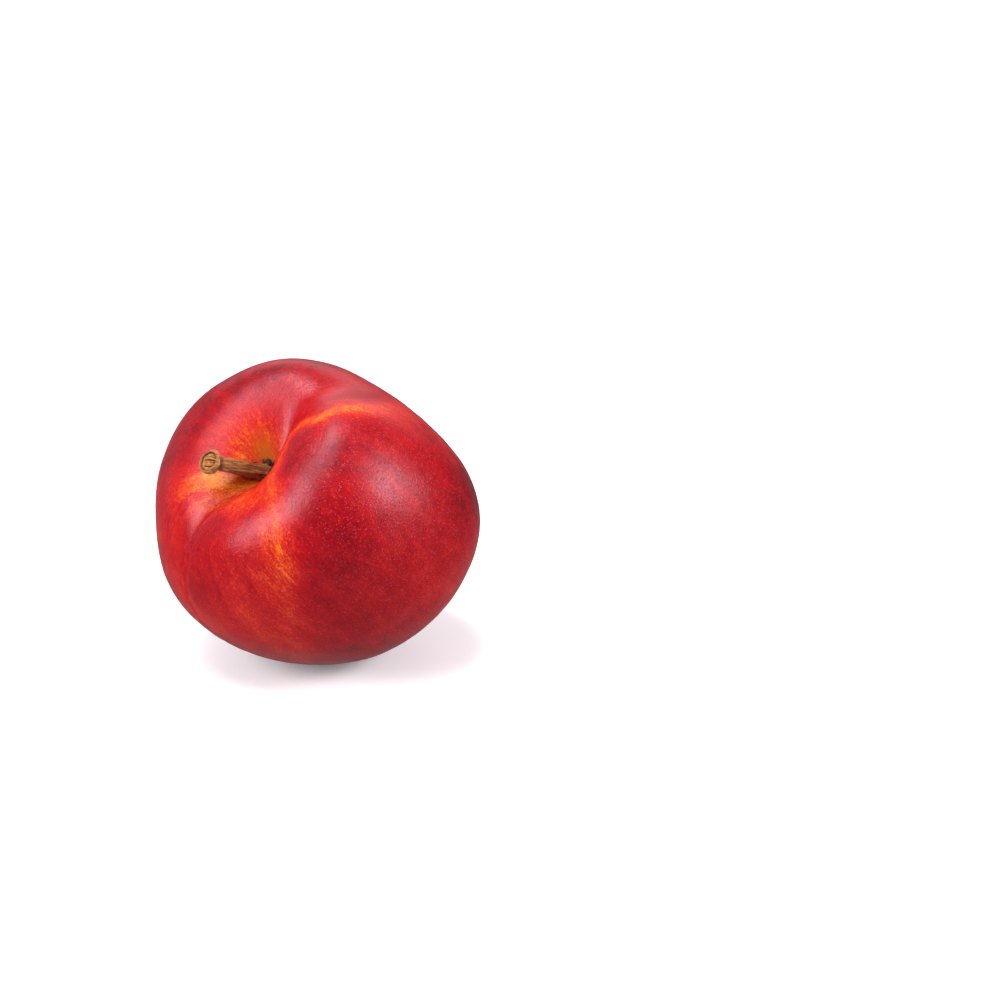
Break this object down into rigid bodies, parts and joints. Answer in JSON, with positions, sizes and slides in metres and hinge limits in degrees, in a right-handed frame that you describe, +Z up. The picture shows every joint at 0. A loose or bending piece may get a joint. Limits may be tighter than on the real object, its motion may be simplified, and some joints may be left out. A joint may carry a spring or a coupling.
{
  "type": "nectarine",
  "caption": "Whole ripe nectarine with two overlapping lobes, a crease, a stalk cavity and its woody stalk, resting on a small flat spot.",
  "frame": {"origin": "middle of the small flat spot that the fruit rests on", "axes": "+Z up; the stalk axis leans from +Z towards -Y; +X is to the right when the stalk cavity faces the viewer"},
  "size_m": [0.0688, 0.0693, 0.066],
  "materials": {
    "skin": "smooth waxy skin, crimson with orange-yellow streaks and small pale dots",
    "stalk_wood": "dry brown bark with lengthwise ridges and a tan scar at the end"
  },
  "bodies": {
    "root": {"fruit": "skin", "stem": "stalk_wood"}
  },
  "joints": []
}
